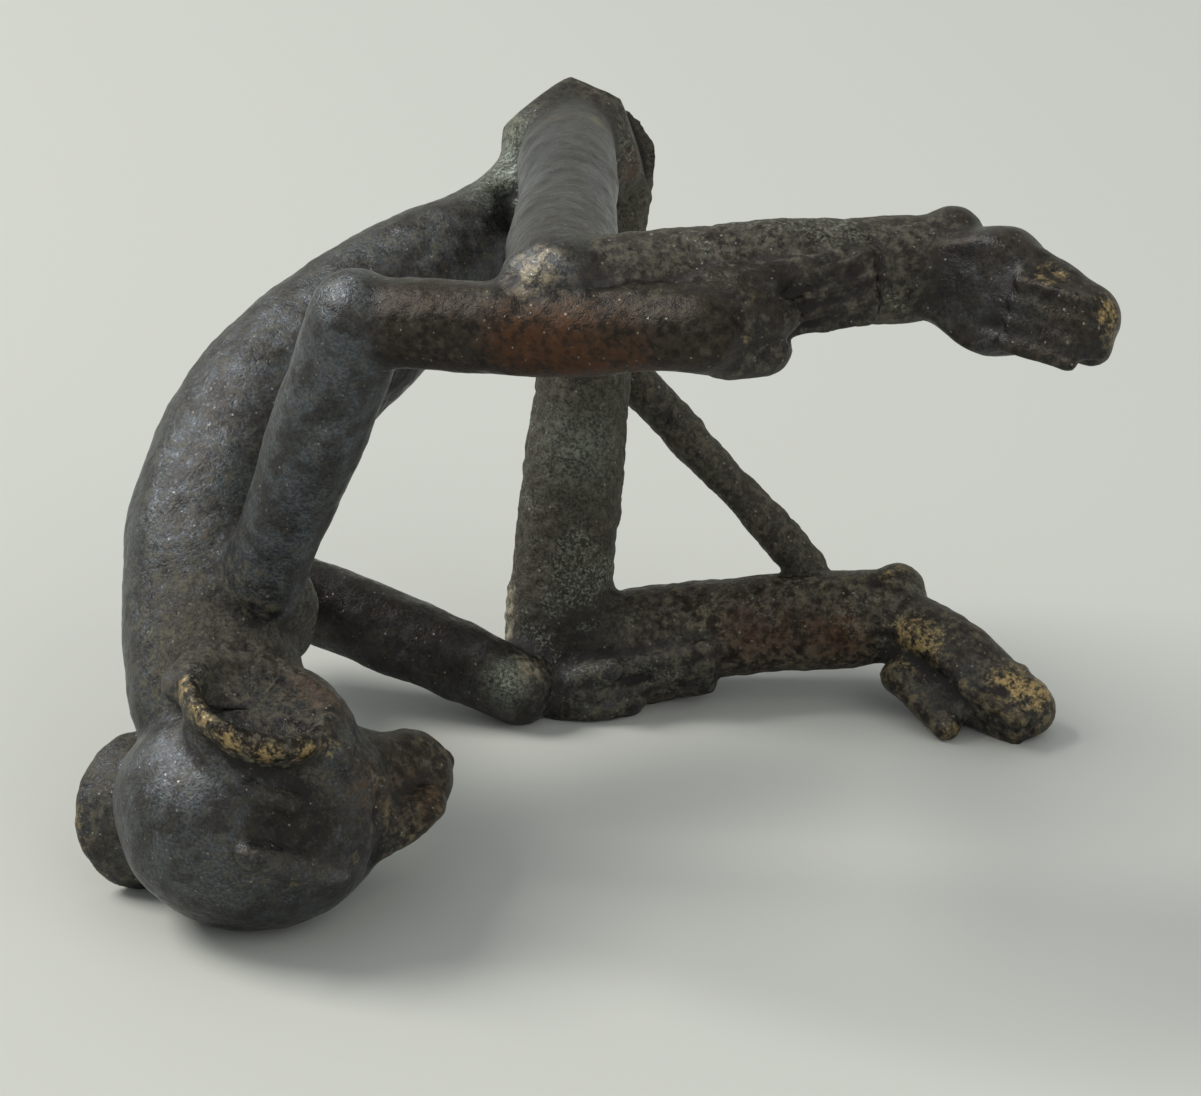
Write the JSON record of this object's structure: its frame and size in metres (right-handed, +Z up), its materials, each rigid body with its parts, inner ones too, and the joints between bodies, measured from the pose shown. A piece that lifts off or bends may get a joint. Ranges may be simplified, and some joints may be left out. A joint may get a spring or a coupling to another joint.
{
  "type": "figurative gold weight",
  "caption": "Small cast brass weight in the form of a seated monkey with bent legs, long arms that reach its feet and a thin tail, lying on its side.",
  "frame": {"origin": "centre of the footprint, on the table that the figure lies on", "axes": "+Z up from the table, +X from the head towards the feet, -Y the side that shows the near ear and the near hand"},
  "size_m": [0.0406, 0.0334, 0.029],
  "materials": {
    "dark_brass": "dark handled patina, brown to blue grey, satin",
    "crusted_brass": "dark patina with an olive and pale green crust, matt",
    "worn_brass": "brown patina worn to yellow brass on high places, satin"
  },
  "bodies": {
    "root": {"back": "dark_brass", "big_toe_far": "worn_brass", "brow_ridge": "dark_brass", "ear_far": "dark_brass", "ear_near": "dark_brass", "finger_far_1": "dark_brass", "finger_far_2": "dark_brass", "finger_far_3": "dark_brass", "finger_far_4": "dark_brass", "finger_near_1": "dark_brass", "finger_near_2": "dark_brass", "finger_near_3": "dark_brass", "finger_near_4": "dark_brass", "foot_far": "worn_brass", "foot_near": "worn_brass", "forearm_far": "dark_brass", "forearm_near": "dark_brass", "head": "dark_brass", "heel_far": "worn_brass", "heel_near": "worn_brass", "muzzle": "worn_brass", "nose": "worn_brass", "palm_far": "dark_brass", "palm_near": "dark_brass", "pelvis": "crusted_brass", "shin_far": "crusted_brass", "shin_near": "crusted_brass", "shoulder_yoke": "dark_brass", "tail": "crusted_brass", "tail_root": "crusted_brass", "thigh_far": "crusted_brass", "thigh_near": "crusted_brass", "thumb_far": "dark_brass", "thumb_near": "dark_brass", "toe_far_1": "worn_brass", "toe_far_2": "worn_brass", "toe_far_3": "worn_brass", "toe_far_4": "worn_brass", "toe_near_1": "worn_brass", "toe_near_2": "worn_brass", "toe_near_3": "worn_brass", "toe_near_4": "worn_brass", "upper_arm_far": "dark_brass", "upper_arm_near": "dark_brass"}
  },
  "joints": []
}
